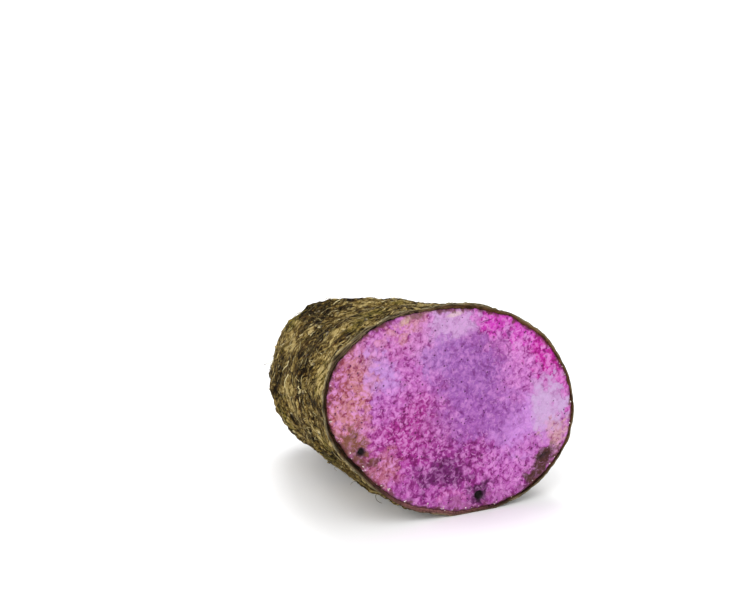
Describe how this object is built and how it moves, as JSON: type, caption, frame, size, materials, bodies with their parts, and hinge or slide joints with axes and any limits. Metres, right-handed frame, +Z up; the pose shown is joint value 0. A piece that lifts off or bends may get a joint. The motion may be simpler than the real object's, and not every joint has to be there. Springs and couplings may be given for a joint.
{
  "type": "purple yam half",
  "caption": "Half of a purple yam tuber, cut across with a knife: rough brown bark round a lumpy body with a blunt tip, and a flat face of purple flesh.",
  "frame": {"origin": "on the table, under the middle of the bounding box", "axes": "+X out of the knife cut, away from the body; +Z up from the table; +Y across the cut"},
  "size_m": [0.0982, 0.0964, 0.0749],
  "materials": {
    "bark": "matte",
    "flesh": "satin"
  },
  "bodies": {
    "root": {"purple_yam_half": "bark"}
  },
  "joints": []
}
